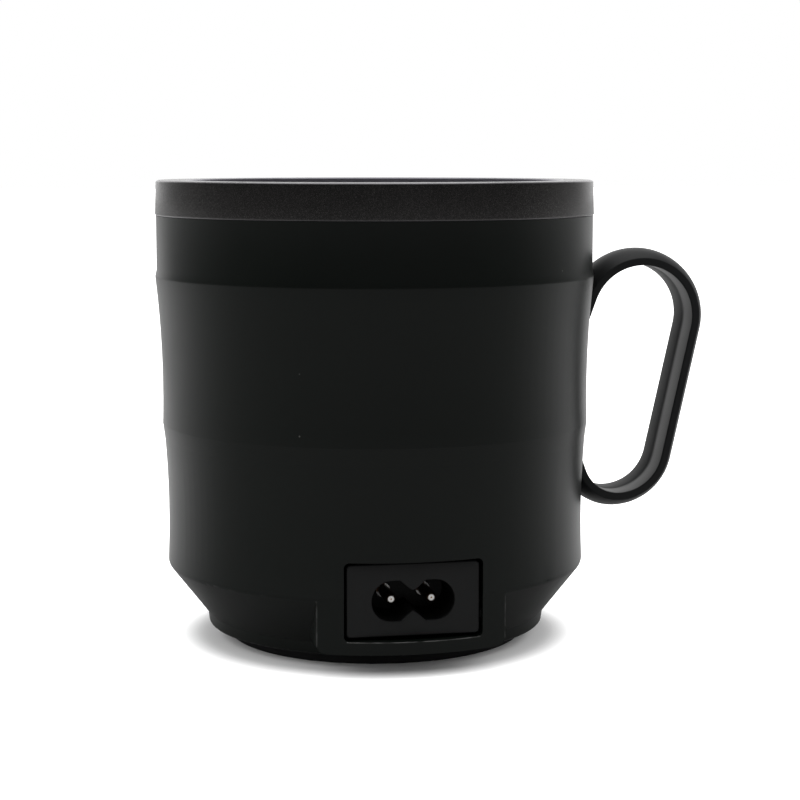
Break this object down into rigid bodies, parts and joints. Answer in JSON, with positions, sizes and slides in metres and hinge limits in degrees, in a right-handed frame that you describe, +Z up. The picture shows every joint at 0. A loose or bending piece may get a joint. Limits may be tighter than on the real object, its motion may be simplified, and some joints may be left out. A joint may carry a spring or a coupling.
{
  "type": "electric wax melting pot",
  "caption": "Round banded electric wax warmer with a metal collar, strap handle, lift-out pot with folding bail, keyed display and figure-8 mains inlet.",
  "frame": {"origin": "on the pot's axis at the table", "axes": "+Z up along the pot's axis, +Y to the rear where the mains inlet is, -X towards the strap handle, -Y towards the control panel"},
  "size_m": [0.126, 0.0984, 0.1027],
  "materials": {
    "black_body": "fine satin moulded black",
    "gunmetal": "dark grey paint with fine metal flake",
    "handle_grey": "satin dark grey",
    "inlet_black": "moulded black, glossy in the recess",
    "contact_nickel": "bright plated contact",
    "steel": "zinc plated",
    "foot_rubber": "dull black",
    "well_aluminium": "spun",
    "heater_sheath": "rolled sheath",
    "felt": "glass felt",
    "shield_metal": "mill finish sheet",
    "sensor_glass": "sealed bead",
    "fuse_can": "drawn can",
    "board_green": "solder mask",
    "relay_case": "moulded",
    "transformer_tape": "taped winding",
    "capacitor_sleeve": "shrink sleeve",
    "fuse_glass": "capped tube",
    "connector_ivory": "moulded",
    "lead_blue": "silicone sleeve",
    "lead_red": "silicone sleeve",
    "cable_grey": "flat cable",
    "panel_gloss": "polished black",
    "smoked_window": "smoked clear",
    "display_black": "filled segments, unlit",
    "switch_metal": "dome sheet",
    "key_grey": "satin grey",
    "pot_aluminium": "satin anodised",
    "bail_steel": "bright wire"
  },
  "bodies": {
    "casing": {"body_shell": "black_body", "collar_ring": "gunmetal", "handle_strap": "handle_grey", "handle_washers": "steel", "handle_screws": "steel", "inlet_housing": "inlet_black", "inlet_pin_left": "contact_nickel", "inlet_pin_right": "contact_nickel", "inlet_screws": "steel", "base_cover": "black_body", "base_screws": "steel", "foot_ring": "foot_rubber", "heating_well": "well_aluminium", "heater_band": "heater_sheath", "band_screw": "steel", "insulation_wrap": "felt", "heat_shield": "shield_metal", "shield_screws": "steel", "temperature_sensor": "sensor_glass", "sensor_clip": "steel", "thermal_fuse": "fuse_can", "fuse_strap": "steel", "power_board": "board_green", "board_screws": "steel", "power_relay": "relay_case", "supply_transformer": "transformer_tape", "supply_capacitor": "capacitor_sleeve", "board_fuse": "fuse_glass", "lead_connectors": "connector_ivory", "mains_leads": "lead_blue", "heater_leads": "lead_red", "display_cable": "cable_grey", "control_panel": "panel_gloss", "display_window": "smoked_window", "display_board": "board_green", "display_module": "display_black", "key_switches": "switch_metal", "display_screws": "steel"},
    "pot": {"inner_pot": "pot_aluminium"},
    "bail": {"bail_handle": "bail_steel"},
    "minus_button": {"minus_key": "key_grey"},
    "power_button": {"power_key": "key_grey"},
    "plus_button": {"plus_key": "key_grey"}
  },
  "joints": [
    {"name": "pot_lift", "type": "slide", "parent": "casing", "child": "pot", "axis": [0, 0, 1], "range_m": [0, 0.08]},
    {"name": "bail_swing", "type": "hinge", "parent": "pot", "child": "bail", "pos_m": [0, 0, 0.0997], "axis": [1, 0, 0], "range_deg": [0, 180]},
    {"name": "minus_press", "type": "slide", "parent": "casing", "child": "minus_button", "axis": [0, 1, 0], "range_m": [0, 0.00035], "stiffness_N_per_m": 1500},
    {"name": "power_press", "type": "slide", "parent": "casing", "child": "power_button", "axis": [0, 1, 0], "range_m": [0, 0.00035], "stiffness_N_per_m": 1500},
    {"name": "plus_press", "type": "slide", "parent": "casing", "child": "plus_button", "axis": [0, 1, 0], "range_m": [0, 0.00035], "stiffness_N_per_m": 1500}
  ]
}
